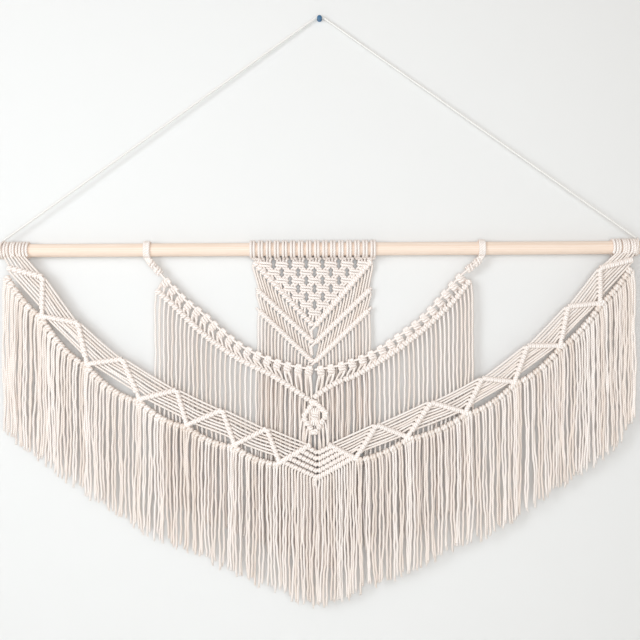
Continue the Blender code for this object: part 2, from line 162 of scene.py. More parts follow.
# ------------------------------------------------------------------ a bundle of cords becomes one mesh
class Cords:
    def __init__(self):
        self.verts, self.faces, self.uvs, self.tones = [], [], [], []
        self.count = 0

    def add(self, path, radius=CORD_R, sides=8, tone=None, taper=None, lobes=0.0):
        """Sweep a round cord along a path; lobes gives the section its three plies."""
        path = np.asarray(path, dtype=float)
        n = len(path)
        along = np.gradient(path, axis=0)
        along /= np.linalg.norm(along, axis=1)[:, None] + 1e-12
        side = np.zeros_like(path)
        seed = FRONT if abs(along[0] @ FRONT) < 0.8 else np.array((1.0, 0, 0))
        current = seed
        for i in range(n):
            current = current - along[i] * (current @ along[i])
            current = current / (np.linalg.norm(current) + 1e-12)
            side[i] = current
        other = np.cross(along, side)
        run = np.concatenate(([0], np.cumsum(np.linalg.norm(np.diff(path, axis=0), axis=1))))
        angle = np.arange(sides) * 2 * math.pi / sides
        size = np.full(n, radius) * (1 + 0.035 * np.sin(run / 7.0 + rng.uniform(0, 6)))
        if taper is not None:
            size = size * taper
        size = size[:, None]
        if lobes:
            turned = angle[None, :] - run[:, None] * 2 * math.pi / PLY_LAY
            size = size * (1 - lobes + lobes * np.abs(np.cos(1.5 * turned)))
        ring = path[:, None, :] + size[..., None] * (np.cos(angle)[None, :, None] * side[:, None, :]
                                                     + np.sin(angle)[None, :, None] * other[:, None, :])
        base = self.count
        self.verts.append(ring.reshape(-1, 3))
        i = np.arange(n - 1)[:, None] * sides
        k = np.arange(sides)[None, :]
        nxt = (k + 1) % sides
        quads = np.stack((i + k, i + nxt, i + sides + nxt, i + sides + k), axis=-1).reshape(-1, 4) + base
        self.faces.append(quads)
        u0 = np.broadcast_to(k / sides, (n - 1, sides))
        u1 = np.broadcast_to((k + 1) / sides, (n - 1, sides))
        v0 = np.broadcast_to(run[:-1, None] / PLY_LAY, (n - 1, sides))
        v1 = np.broadcast_to(run[1:, None] / PLY_LAY, (n - 1, sides))
        uv = np.stack((np.stack((u0, v0), -1), np.stack((u1, v0), -1), np.stack((u1, v1), -1),
                       np.stack((u0, v1), -1)), axis=2)
        self.uvs.append(uv.reshape(-1, 2))
        value = rng.uniform(0, 1) if tone is None else tone
        self.tones.append(np.full(n * sides, value))
        self.count += n * sides
        for start, order in ((base, range(sides)), (base + (n - 1) * sides, range(sides - 1, -1, -1))):
            tip = self.count
            middle = path[0] if start == base else path[-1]
            self.verts.append(middle[None, :])
            self.tones.append(np.array([value]))
            self.count += 1
            order = list(order)
            fan = [(start + order[(j + 1) % sides], start + order[j], tip, tip) for j in range(sides)]
            self.faces.append(np.array(fan))
            self.uvs.append(np.zeros((sides * 4, 2)))

    def make(self, name, body, mat, *nodes):
        verts = np.vstack(self.verts) * M
        faces = np.vstack(self.faces)
        uvs = np.vstack(self.uvs)
        fan = faces[:, 2] == faces[:, 3]
        sizes = np.where(fan, 3, 4)
        starts = np.concatenate(([0], np.cumsum(sizes)[:-1]))
        keep = np.ones((len(faces), 4), dtype=bool)
        keep[fan, 3] = False
        loops = faces[keep]
        uvs = uvs[keep.reshape(-1)]
        mesh = bpy.data.meshes.new(name)
        mesh.vertices.add(len(verts))
        mesh.vertices.foreach_set("co", verts.astype(np.float32).ravel())
        mesh.loops.add(len(loops))
        mesh.loops.foreach_set("vertex_index", loops.astype(np.int32))
        mesh.polygons.add(len(faces))
        mesh.polygons.foreach_set("loop_start", starts.astype(np.int32))
        mesh.update(calc_edges=True)
        mesh.validate()
        layer = mesh.uv_layers.new(name="ply")
        layer.data.foreach_set("uv", uvs.astype(np.float32).ravel())
        tone = mesh.attributes.new("tone", "FLOAT", "POINT")
        tone.data.foreach_set("value", np.concatenate(self.tones).astype(np.float32))
        mesh.shade_smooth()
        mesh.materials.append(mat)
        obj = bpy.data.objects.new(name, mesh)
        bpy.context.scene.collection.objects.link(obj)
        if body:
            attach(obj, body)
        if nodes:
            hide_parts(*nodes)
        return obj


# ------------------------------------------------------------------ materials
def nodes_of(mat):
    mat.use_nodes = True
    tree = mat.node_tree
    return tree, tree.nodes["Principled BSDF"]


def add(tree, kind, **inputs):
    node = tree.nodes.new(kind)
    for name, value in inputs.items():
        node.inputs[name.replace("_", " ")].default_value = value
    return node


def math_node(tree, operation, a, b=None):
    node = tree.nodes.new("ShaderNodeMath")
    node.operation = operation
    for socket, value in zip(node.inputs, (a, b)):
        if value is None:
            continue
        if isinstance(value, (int, float)):
            socket.default_value = value
        else:
            tree.links.new(value, socket)
    return node.outputs[0]


def cotton(name, light, dark, shade_colour):
    """Undyed twisted cotton: three plies that wind round the cord, loose fibres, small changes of tone;
    painted shade darkens the ply grooves and the flanks and back of the cord.
    """
    mat = bpy.data.materials.new(name)
    tree, shader = nodes_of(mat)
    uv = tree.nodes.new("ShaderNodeUVMap")
    uv.uv_map = "ply"
    parts = tree.nodes.new("ShaderNodeSeparateXYZ")
    tree.links.new(uv.outputs["UV"], parts.inputs[0])
    turn = math_node(tree, "SUBTRACT", math_node(tree, "MULTIPLY", parts.outputs["X"], 3.0),
                     math_node(tree, "MULTIPLY", parts.outputs["Y"], 3.0))
    ply = math_node(tree, "ABSOLUTE", math_node(tree, "SINE", math_node(tree, "MULTIPLY", turn, math.pi)))
    groove = math_node(tree, "POWER", ply, 0.6)

    place = tree.nodes.new("ShaderNodeTexCoord")
    fibre = add(tree, "ShaderNodeTexNoise", Scale=1400.0, Detail=3.0, Roughness=0.65)
    tree.links.new(place.outputs["Object"], fibre.inputs["Vector"])
    patch = add(tree, "ShaderNodeTexNoise", Scale=22.0, Detail=2.0)
    tree.links.new(place.outputs["Object"], patch.inputs["Vector"])
    tone = tree.nodes.new("ShaderNodeAttribute")
    tone.attribute_name = "tone"

    blend = tree.nodes.new("ShaderNodeMix")
    blend.data_type = "RGBA"
    blend.inputs["A"].default_value = (*dark, 1)
    blend.inputs["B"].default_value = (*light, 1)
    amount = math_node(tree, "ADD", math_node(tree, "MULTIPLY", tone.outputs["Fac"], 0.8),
                       math_node(tree, "MULTIPLY", patch.outputs["Fac"], 0.45))
    tree.links.new(amount, blend.inputs["Factor"])
    # Painted shade: the ply grooves are mixed towards the third, dark colour, as if in shadow.
    shade = tree.nodes.new("ShaderNodeMix")
    shade.data_type = "RGBA"
    shade.inputs["A"].default_value = (*shade_colour, 1)
    tree.links.new(blend.outputs["Result"], shade.inputs["B"])
    depth = tree.nodes.new("ShaderNodeMapRange")
    depth.inputs["To Min"].default_value = 0.25
    tree.links.new(groove, depth.inputs["Value"])
    tree.links.new(depth.outputs["Result"], shade.inputs["Factor"])

    # Painted shade: the cord's flanks and back, which face away from the front, are mixed towards the dark
    # shade colour as if in shadow
    facing = tree.nodes.new("ShaderNodeSeparateXYZ")
    tree.links.new(place.outputs["Normal"], facing.inputs[0])
    flank = tree.nodes.new("ShaderNodeMapRange")
    flank.interpolation_type = "SMOOTHSTEP"
    back = tree.nodes.new("ShaderNodeMapRange")
    for node, values in ((flank, (-0.8, 0.3, 0.0, 0.42)), (back, (0.2, 0.9, 0.0, 0.3))):
        for socket, value in zip(("From Min", "From Max", "To Min", "To Max"), values):
            node.inputs[socket].default_value = value
        tree.links.new(facing.outputs["Y"], node.inputs["Value"])
    flank_shade = tree.nodes.new("ShaderNodeMix")
    flank_shade.data_type = "RGBA"
    flank_shade.inputs["B"].default_value = (*shade_colour, 1)
    tree.links.new(shade.outputs["Result"], flank_shade.inputs["A"])
    turned_away = math_node(tree, "ADD", flank.outputs["Result"], back.outputs["Result"])
    tree.links.new(turned_away, flank_shade.inputs["Factor"])
    tree.links.new(flank_shade.outputs["Result"], shader.inputs["Base Color"])

    relief = math_node(tree, "ADD", math_node(tree, "MULTIPLY", groove, 0.75),
                       math_node(tree, "MULTIPLY", fibre.outputs["Fac"], 0.4))
    bump = add(tree, "ShaderNodeBump", Strength=0.55, Distance=0.0006)
    tree.links.new(relief, bump.inputs["Height"])
    tree.links.new(bump.outputs["Normal"], shader.inputs["Normal"])
    shader.inputs["Roughness"].default_value = 0.92
    shader.inputs["Specular IOR Level"].default_value = 0.25
    shader.inputs["Sheen Weight"].default_value = 0.25
    shader.inputs["Sheen Roughness"].default_value = 0.6
    return mat


def pine():
    """Sanded pine: long straight grain along the rod, faint knots of tone, rings on the sawn ends."""
    mat = bpy.data.materials.new("pine_wood")
    tree, shader = nodes_of(mat)
    place = tree.nodes.new("ShaderNodeTexCoord")
    centred = add(tree, "ShaderNodeMapping")
    centred.inputs["Location"].default_value = (0, -(DOWEL_Y + 22) * M, -(DOWEL_Z - 30) * M)
    centred.inputs["Scale"].default_value = (0.045, 1, 1)
    tree.links.new(place.outputs["Object"], centred.inputs["Vector"])
    rings = add(tree, "ShaderNodeTexWave", Scale=110.0, Distortion=3.0, Detail=2.0)
    rings.inputs["Detail Scale"].default_value = 1.4
    rings.wave_type = "RINGS"
    rings.rings_direction = "X"
    tree.links.new(centred.outputs[0], rings.inputs["Vector"])
    streak = add(tree, "ShaderNodeTexNoise", Scale=420.0, Detail=4.0, Roughness=0.6)
    tree.links.new(centred.outputs[0], streak.inputs["Vector"])
    mixed = math_node(tree, "ADD", math_node(tree, "MULTIPLY", rings.outputs["Fac"], 0.45),
                      math_node(tree, "MULTIPLY", streak.outputs["Fac"], 0.55))
    ramp = tree.nodes.new("ShaderNodeValToRGB")
    ramp.color_ramp.elements[0].position = 0.12
    ramp.color_ramp.elements[0].color = (0.84, 0.665, 0.53, 1)
    ramp.color_ramp.elements[1].position = 0.88
    ramp.color_ramp.elements[1].color = (0.93, 0.795, 0.69, 1)
    tree.links.new(mixed, ramp.inputs["Fac"])
    tree.links.new(ramp.outputs["Color"], shader.inputs["Base Color"])
    rough = tree.nodes.new("ShaderNodeMapRange")
    rough.inputs["To Min"].default_value = 0.48
    rough.inputs["To Max"].default_value = 0.66
    tree.links.new(streak.outputs["Fac"], rough.inputs["Value"])
    tree.links.new(rough.outputs["Result"], shader.inputs["Roughness"])
    bump = add(tree, "ShaderNodeBump", Strength=0.25, Distance=0.0003)
    tree.links.new(mixed, bump.inputs["Height"])
    tree.links.new(bump.outputs["Normal"], shader.inputs["Normal"])
    return mat


def speckled(name, colour, second, roughness, metallic, scale):
    """Moulded plastic or drawn metal: two close tones, with roughness and relief that follow a fine noise."""
    mat = bpy.data.materials.new(name)
    tree, shader = nodes_of(mat)
    place = tree.nodes.new("ShaderNodeTexCoord")
    noise = add(tree, "ShaderNodeTexNoise", Scale=scale, Detail=3.0)
    tree.links.new(place.outputs["Object"], noise.inputs["Vector"])
    ramp = tree.nodes.new("ShaderNodeValToRGB")
    ramp.color_ramp.elements[0].color = (*colour, 1)
    ramp.color_ramp.elements[1].color = (*second, 1)
    tree.links.new(noise.outputs["Fac"], ramp.inputs["Fac"])
    tree.links.new(ramp.outputs["Color"], shader.inputs["Base Color"])
    rough = tree.nodes.new("ShaderNodeMapRange")
    rough.inputs["To Min"].default_value = roughness - 0.08
    rough.inputs["To Max"].default_value = roughness + 0.1
    tree.links.new(noise.outputs["Fac"], rough.inputs["Value"])
    tree.links.new(rough.outputs["Result"], shader.inputs["Roughness"])
    bump = add(tree, "ShaderNodeBump", Strength=0.12, Distance=0.0001)
    tree.links.new(noise.outputs["Fac"], bump.inputs["Height"])
    tree.links.new(bump.outputs["Normal"], shader.inputs["Normal"])
    shader.inputs["Metallic"].default_value = metallic
    return mat


# Each cotton: the light and dark ends of its random tone, then the dark colour of the painted shade in its
# ply grooves and on its turned-away flanks and back.
COTTON = cotton("cotton_strands", (0.97, 0.955, 0.93), (0.85, 0.775, 0.705), (0.66, 0.47, 0.36))
KNOTTED = cotton("cotton_knots", (0.975, 0.955, 0.93), (0.92, 0.865, 0.82), (0.68, 0.49, 0.385))
HANGER = cotton("cotton_hanger", (0.915, 0.915, 0.89), (0.86, 0.855, 0.83), (0.68, 0.66, 0.62))


# ------------------------------------------------------------------ how a cord runs
ROW_SHARE = {"left": 0.26, "right": 0.29}   # radius of the cord in a row of hitches, as a share of its pitch


def wrap(centre, bar, travel, width, radius=2.7):
    """A double half hitch: in from behind the bar, twice round it side by side, and out below from between.

    Returns the points and the point just clear of the bar, square to it, where the cord starts to hang.
    """
    bar = unit(bar)
    above = unit(bar * (travel @ bar) - travel)
    angle = np.linspace(60, 870, 30)
    shift = np.interp(angle, (60, 150, 270, 450, 630, 740, 870), (-0.1, -0.24, -0.25, 0, 0.25, 0.22, 0.03))
    points = [centre + bar * (s * width) + radius * (math.cos(a) * above - math.sin(a) * FRONT)
              for a, s in zip(np.radians(angle), shift)]
    clear = centre - above * (radius + CORD_R + 2.0) - FRONT * 0.8
    return points, clear


def loop_over(a, b, bar, radius, first=115.0):
    """A folded cord over a bar: up the front at a, over, down the back, across, and back over at b."""
    up = np.array((0, 0, 1.0))
    up = unit(up - bar * (up @ bar))
    angle = np.radians(np.linspace(first, -140, 15))
    rise = [a + radius * (math.cos(t) * up + math.sin(t) * FRONT) for t in angle]
    across = [(rise[-1] + (b - a) * 0.5) + DOWN * 1.5]
    fall = [b + radius * (math.cos(t) * up + math.sin(t) * FRONT) for t in angle[::-1]]
    return rise + across + fall


def clump(x, z):
    """Sideways drift that neighbouring strands share, so that a fringe gathers into loose locks."""
    return (1.9 * math.sin(x / 9.5 + z / 41.0) + 1.5 * math.sin(x / 4.3 - z / 27.0 + 1.3)
            + 2.0 * math.sin(x / 23.0 + z / 60.0 + 4.0))


def hang(top, x, y, bottom, sway=1.0):
    """Points of a strand that hangs from top to bottom, with the slight waves of twisted cotton."""
    drop = top[2] - bottom
    count = max(3, int(drop / 7))
    t = np.linspace(0, 1, count + 1)[1:]
    run = drop * t
    ease = np.clip(run / 24.0, 0, 1)
    ease = ease * ease * (3 - 2 * ease)
    grow = np.clip(run / 70, 0, 1)
    waves = [(rng.uniform(110, 190), 0.6), (rng.uniform(38, 60), 0.42), (rng.uniform(17, 28), 0.3)]
    dx = sum(sway * size * np.sin(run / wave * 6.28 + rng.uniform(0, 6.28)) for wave, size in waves) * grow
    lock = np.array([clump(x, top[2] - r) for r in run]) * np.clip(run / 170, 0, 1) ** 1.3 * sway * 0.6
    dy = 1.0 * grow * np.sin(run / rng.uniform(80, 150) * 6.28 + rng.uniform(0, 6.28))
    spread = rng.normal(0, 1.2) * t ** 2
    xs = top[0] + (x - top[0]) * ease + dx + lock + spread
    ys = top[1] + (y - top[1]) * ease + dy
    return [np.array(p) for p in zip(xs, ys, top[2] - run)]


def fray(cords, end, before, tone):
    """The cut end of a strand, where its three plies come apart."""
    along = unit(end - before)
    for k in range(3):
        a = k * 2.094 + rng.uniform(0, 2)
        out = np.array((math.cos(a), math.sin(a) * 0.5, 0))
        length = rng.uniform(3, 6)
        path = smooth([end - along * 5 + out * 0.7, end + out * 0.9, end + along * length * 0.5 + out * 1.4,
                       end + along * length + out * rng.uniform(1.2, 2.6)], 2.5)
        cords.add(path, 1.15, sides=5, tone=tone, taper=np.linspace(1, 0.8, len(path)))


def strand(cords, points, spacing=3.6, radius=CORD_R, tone=None):
    """Sweep a cord that hangs free at its last point."""
    tone = rng.uniform(0, 1) if tone is None else tone
    path = smooth(points, spacing)
    cords.add(path, radius * rng.uniform(0.95, 1.1), tone=tone)
    fray(cords, path[-1], path[-3], tone)


def fringe_end(x, rise=0.0):
    return height(FRINGE_LINE, x) + rise + 8 + rng.uniform(-9, 8)


def placed(c, side, down, points, wide=1.0, tall=1.0):
    """Points given as (sideways, forward, up) round c, in the plane that side and down span."""
    return [c + side * x * wide - down * z * tall + FRONT * f for x, f, z in points]


# The two working cords of a square knot: one crosses in front above, the other in front below
KNOT_OVER = [(-4.6, 0, 5.0), (-5.6, 1.2, 3.4), (-2.6, 3.7, 2.4), (2.6, 3.7, 1.9), (6.0, 1.8, 0.7),
             (5.4, -1.4, -1.0), (1.6, -3.0, -1.9), (-2.6, -3.0, -2.5), (-5.4, -0.4, -3.6), (-4.6, 0, -5.0)]
KNOT_UNDER = [(4.6, 0, 5.0), (5.4, -0.4, 3.6), (2.6, -3.0, 2.5), (-1.6, -3.0, 1.9), (-5.4, -1.4, 1.0),
              (-6.0, 1.8, -0.7), (-2.6, 3.7, -1.9), (2.6, 3.7, -2.4), (5.6, 1.2, -3.4), (4.6, 0, -5.0)]
KNOT_CORE_LEFT = [(-1.6, 0, 5.0), (-1.5, 0, 0), (-1.6, 0, -5.0)]
KNOT_CORE_RIGHT = [(1.6, 0, 5.0), (1.5, 0, 0), (1.6, 0, -5.0)]
KNOT = [KNOT_OVER, KNOT_CORE_LEFT, KNOT_CORE_RIGHT, KNOT_UNDER]


def rope(cords, a, b, tone=0.5, hook=None, radius=2.0):
    """The holding cord of a row of hitches; hook adds points by which its end turns away."""
    cords.add(smooth([a, b] + (hook or []), 3), radius, tone=tone)


# ------------------------------------------------------------------ hanger cord
def hanger_route():
    bend = 8.0
    waist_top = PIN_WAIST_R + GAP + CAD_CORD_R
    crown = np.array((0, HANG_Y, waist_top - bend))
    half = {}
    for side, span in HITCH_SPANS.items():
        end = np.array((sum(span) / 2, DOWEL_Y, DOWEL_Z + WOUND_R + GAP + CAD_CORD_R))
        sign = -1 if side == "left" else 1
        slope = math.atan2(crown[2] + bend - end[2], abs(end[0]))
        arc = [crown + bend * np.array((sign * math.sin(a), 0, math.cos(a)))
               for a in np.linspace(0, slope, 4)]
        straight = [arc[-1] + (end - arc[-1]) * t for t in np.linspace(0, 1, 30)[1:]]
        half[side] = arc + straight
    return half["left"][::-1] + half["right"][1:]


def build_hanger():
    route = smooth(hanger_route(), 1.5)
    cords = Cords()
    cords.add(route, 2.05, sides=12, tone=0.8, lobes=0.16)
    piece = cords.make("hanger_cord", None, HANGER, "hanger_cord_left", "hanger_cord_right",
                       "hanger_cord_bight")
    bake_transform(piece)
    for side, (x0, x1) in HITCH_SPANS.items():
        cords = Cords()
        turns = np.linspace(0, 2, 49)
        xs = x0 + 2.0 + (x1 - x0 - 4.0) * turns / 2
        r = DOWEL_R + 2.1
        coil = [np.array((x, DOWEL_Y + r * math.sin(a), DOWEL_Z + r * math.cos(a)))
                for x, a in zip(xs, -turns * 2 * math.pi)]
        middle = (x0 + x1) / 2
        riding = r + 2.6
        cross = [np.array((middle + s * 3.0, DOWEL_Y - riding * math.sin(a), DOWEL_Z + riding * math.cos(a)))
                 for s, a in zip(np.linspace(1, -1, 9), np.linspace(0.1, 1.9, 9))]
        tail = [np.array((middle - 3.0, DOWEL_Y - (r + 2.0) * math.sin(a), DOWEL_Z + (r + 2.0) * math.cos(a)))
                for a in (2.2, 2.5, 2.8)]
        cords.add(smooth(coil, 1.6), 1.95, sides=10, tone=0.6, lobes=0.12)
        cords.add(smooth(cross + tail, 1.6), 1.8, sides=10, tone=0.6, lobes=0.12)
        knot = cords.make(f"hanger_knot_{side}", "hanger", COTTON, f"hanger_hitch_{side}")


# ------------------------------------------------------------------ centre layer
def build_centre_layer():
    y = CENTRE_Y
    x0, x1 = CENTRE_SPAN
    count = 32
    middle_x, net_pitch = -12.0, 7.8
    xs = [middle_x + (i - 15.5) * net_pitch for i in range(count)]
    xs[:2], xs[-2:] = (-125.5, -121.0), (97.0, 101.5)
    top_pitch = (x1 - x0) / count
    tops = [x0 + (i + 0.5) * top_pitch for i in range(count)]

    heads = Cords()
    along_x = np.array((1.0, 0, 0))
    for i in range(0, count, 2):
        a = np.array((tops[i] + 0.95, DOWEL_Y, DOWEL_Z))
        b = np.array((tops[i + 1] - 0.95, DOWEL_Y, DOWEL_Z))
        path = loop_over(a, b, along_x, HEAD_R, first=185)
        heads.add(smooth([spot((xs[i], -462), y - 2)] + path + [spot((xs[i + 1], -462), y - 2)], 2.0), 2.6,
                  tone=rng.uniform(0.3, 1))
    heads.make("centre_heads", "centre_layer", KNOTTED, "centre_larks_heads")

    # Seven rows of alternating square knots, one knot fewer in each row; every strand runs on through them
    row_z = [-471.5 - 15.5 * r for r in range(7)]
    routes = [[spot((x, -458), y - 3)] for x in xs]
    for row in range(7):
        for k in range(7 - row):
            first = 2 + 2 * row + 4 * k
            c = spot((sum(xs[first:first + 4]) / 4, row_z[row]), y)
            for role in range(4):
                routes[first + role] += placed(c, along_x, DOWN, KNOT[role], wide=1.78, tall=1.26)
    net = Cords()
    rows = {(n, s): Cords() for n in range(3) for s in ("left", "right")}
    between = [Cords(), Cords()]
    fringe = Cords()
    for i in range(count):
        side = "left" if i < count // 2 else "right"
        tone = rng.uniform(0, 1)
        share = (i + 0.5) / 16 if side == "left" else (count - i - 0.5) / 16
        for n, (left, tip, right) in enumerate(VEES):
            corner, tip = spot(left if side == "left" else right, y), spot(tip, y)
            arm = tip - corner
            at = 1 - (1 - share) * (1 - 0.03 * n)
            width = np.linalg.norm(arm) / 16
            turns, clear = wrap(corner + arm * (at * 0.98), arm, DOWN, width, radius=3.1)
            rows[n, side].add(smooth(turns, 1.6), width * ROW_SHARE[side], tone=0.6 + tone * 0.4)
            if n == 0:
                net.add(smooth(routes[i] + turns[:2], 2.0), 2.5, tone=0.4 + tone * 0.6)
            else:
                # Painted shade: between the rows of hitches a cord takes only the darker part of its tone, as
                # it hangs behind the bars.
                behind = (start[-1] + turns[0]) / 2 - FRONT * 1.8
                between[n - 1].add(smooth(start + [behind] + turns[:2], 2.6), 2.0, tone=tone * 0.7)
            start = [turns[-1], clear]
        x = clear[0] + (clear[0] - turns[-1][0]) * 0.2
        bottom = CENTRE_BOTTOM + 8 + rng.uniform(-6, 6)
        strand(fringe, start + hang(clear, x, y, bottom, sway=0.8), 4.2, tone=tone)
    net.make("centre_net", "centre_layer", KNOTTED, "centre_knot_net")
    for (n, side), cords in rows.items():
        left, tip, right = VEES[n]
        if side == "left":
            rope(cords, spot(left, y), spot(tip, y))
        else:
            tip = spot(tip, y)
            rope(cords, spot(right, y), tip + FRONT * 2, radius=2.7,
                 hook=[tip + np.array((-5, -2.0, -5)), tip + np.array((-5.5, -1.0, -13)),
                       tip + np.array((-4, 1.5, -22))])
        cords.make(f"vee_{n + 1}_{side}_hitches", "centre_layer", KNOTTED, f"centre_vee_{n + 1}_{side}")
    for n, cords in enumerate(between, start=1):
        cords.make(f"centre_strands_{n}_cords", "centre_layer", COTTON, f"centre_strands_{n}")
    fringe.make("centre_fringe_cords", "centre_layer", COTTON, "centre_fringe")


# ------------------------------------------------------------------ middle layer
KNOT_STEP = 20.0
SWAG_MIDDLE = -13               # x at which the two halves of the swag meet
SHORT_REACH = 120               # knots nearer the middle than this drop their cords into middle_strands
CHAIN = [9, 27]                 # two knots of the chain by which the rope reaches the dowel
CHAIN_END = 44
LINE_END = {"left": (-13, -735), "right": (-15, -727)}


def build_swag(side, short):
    """A row of square knots on a rope, and the hitched line below it that their cords run to."""
    y = MIDDLE_Y
    along_x = np.array((1.0, 0, 0))
    x0, x1 = MIDDLE_SPANS[side]
    swag = smooth([spot(p, y) for p in SWAG[side]], 1.0)
    line = smooth([spot(p, y) for p in HITCH_LINE[side] + [LINE_END[side]]], 1.0)

    heads = Cords()
    for k in range(2):
        centre_x = (x0 + x1) / 2 + (k - 0.5) * 5.6
        a = np.array((centre_x - 1.4, DOWEL_Y, DOWEL_Z))
        b = np.array((centre_x + 1.4, DOWEL_Y, DOWEL_Z))
        path = loop_over(a, b, along_x, HEAD_R, first=165)
        heads.add(smooth([swag[4]] + path + [swag[8]], 2.0), 2.4, tone=0.5 + 0.3 * k)
    heads.make(f"middle_head_{side}", "middle_layer", KNOTTED, f"middle_larks_head_{side}")

    chain, hitches, fringe = Cords(), Cords(), Cords()
    hitches.add(line[::5], 2.0, tone=0.6)
    slope = np.gradient(swag, axis=0)
    slope /= np.linalg.norm(slope, axis=1)[:, None]
    square = DOWN - slope * (slope @ DOWN)[:, None]
    square /= np.linalg.norm(square, axis=1)[:, None]
    for off in (-1.6, 1.6):
        chain.add((swag - square * 3.4 + FRONT * off)[::4], 2.2, tone=0.8)
    count = int(round((len(swag) - CHAIN_END) / KNOT_STEP))
    ways = [int((k + 0.5) / (2 * count) * (len(line) - 1)) for k in range(2 * count)]
    for i in CHAIN:
        for role in range(4):
            knot = placed(swag[i] - square[i] * 3.4, square[i], slope[i], KNOT[role], wide=0.9, tall=1.5)
            chain.add(smooth(knot, 1.8), 2.3, tone=rng.uniform(0.5, 1))
    for k in range(count):
        i = CHAIN_END + int((k + 0.5) / count * (len(swag) - 1 - CHAIN_END))
        along = slope[i] if slope[i][0] > 0 else -slope[i]
        down = square[i]
        c = swag[i] - down * 1.0
        for role in range(4):
            # up from the knot, over the rope and down the back of it, then the knot, then on to the line
            offset = (role - 1.5) * 2.5
            top = c + along * offset - down * 4.0
            over = [top + down * 2.0 - FRONT * 3.0, top - down * 1.6 - FRONT * 2.2,
                    top - down * 2.8 + FRONT * 0.6, top - down * 0.8 + FRONT * 2.6]
            path = over + placed(c + down * 3.4, along, down, KNOT[role], wide=0.95, tall=1.15)
            pair = sorted(ways[2 * k:2 * k + 2], key=lambda w: line[w][0])
            j = pair[0 if role < 2 else 1]
            hidden = 1 if role in (1, 2) else 0
            goal = line[j] + np.array((0, 1.0 + 2.5 * hidden, 3.0)) + along * (0.6 if role < 2 else -0.6)
            near = path[-1]
            target = short if abs(c[0] - SWAG_MIDDLE) < SHORT_REACH else chain
            chain.add(smooth(path, 1.8), 2.4, tone=rng.uniform(0.5, 1))
            bow = along * (-1.2 if role < 2 else 1.2) - FRONT * 2.0 * hidden
            target.add(smooth([near, near * 0.55 + goal * 0.45 + bow, goal], 2.4), 2.05,
                       tone=rng.uniform(0.2, 1))
    for w in ways:
        c = line[w]
        bar = unit(line[min(w + 5, len(line) - 1)] - line[max(w - 5, 0)])
        tone = rng.uniform(0, 1)
        width = len(line) / len(ways)
        turns, clear = wrap(c, bar, DOWN, width, radius=3.0)
        hitches.add(smooth(turns, 1.6), min(width * 0.27, 2.9), tone=0.6 + tone * 0.4)
        x = clear[0] + (clear[0] - c[0]) * 0.3
        fall = hang(clear, x, y, fringe_end(x, MIDDLE_RISE), sway=0.8)
        strand(fringe, [turns[-1], clear] + fall, 4.2, tone=tone)
    chain.make(f"swag_{side}_sennit", "middle_layer", KNOTTED, f"swag_sennit_{side}")
    hitches.make(f"swag_{side}_hitches", "middle_layer", KNOTTED, f"swag_hitches_{side}")
    fringe.make(f"middle_fringe_{side}_cords", "middle_layer", COTTON, f"middle_fringe_{side}")


def build_middle_layer():
    short = Cords()
    for side in ("left", "right"):
        build_swag(side, short)
    short.make("middle_short_cords", "middle_layer", COTTON, "middle_strands")

    # The small diamond: four rows of hitches round one square knot
    y = MIDDLE_Y - 1.0
    cords = Cords()
    corners = [spot(p, y) for p in DIAMOND]
    for a, b in zip(corners, corners[1:] + corners[:1]):
        rope(cords, a, b)
        count = 4
        for k in range(count):
            c = a + (b - a) * (k + 0.5) / count
            turns, clear = wrap(c, b - a, DOWN, np.linalg.norm(b - a) / count, radius=3.1)
            cords.add(smooth(turns, 1.6), 2.7, tone=rng.uniform(0.5, 1))
            if c[2] < corners[1][2]:
                x = clear[0] + (clear[0] - c[0]) * 0.5
                fall = hang(clear, x, MIDDLE_Y, fringe_end(x, MIDDLE_RISE), sway=0.5)
                strand(cords, [turns[-1], clear] + fall, radius=1.9)
    for x in (-21, -13, -5):
        top = np.array((x, MIDDLE_Y + 3, -738.0))
        strand(cords, [top] + hang(top, x, MIDDLE_Y + 3, fringe_end(x, MIDDLE_RISE), sway=0.6), radius=1.95)
    middle = sum(corners) / 4
    side = np.array((1.0, 0, 0))
    for role in range(4):
        knot = placed(middle, side, DOWN, KNOT[role], wide=1.0, tall=1.2)
        spread = (role - 1.5) * 5.5
        route = [middle + side * spread - DOWN * 17] + knot + [middle + side * spread + DOWN * 17]
        cords.add(smooth(route, 1.8), 2.1, tone=rng.uniform(0.4, 1))
    cords.make("diamond_knots", "middle_layer", KNOTTED, "diamond")


# ------------------------------------------------------------------ lower layer
BAND_CORDS = 7                  # the eighth strand is the holding cord of the zigzag
FIRST_CORD = 0.17               # how far up each bar the lowest cord of the band crosses it


def bar_points(side):
    """Each bar of the zigzag as (valley, peak), from the dowel's end to the chevron."""
    valleys, peaks = VALLEYS[side][1:], PEAKS[side]
    bars = []
    for k in range(6):
        bars.append((valleys[k], peaks[k]))
        bars.append((valleys[k], peaks[k + 1]))
    return bars


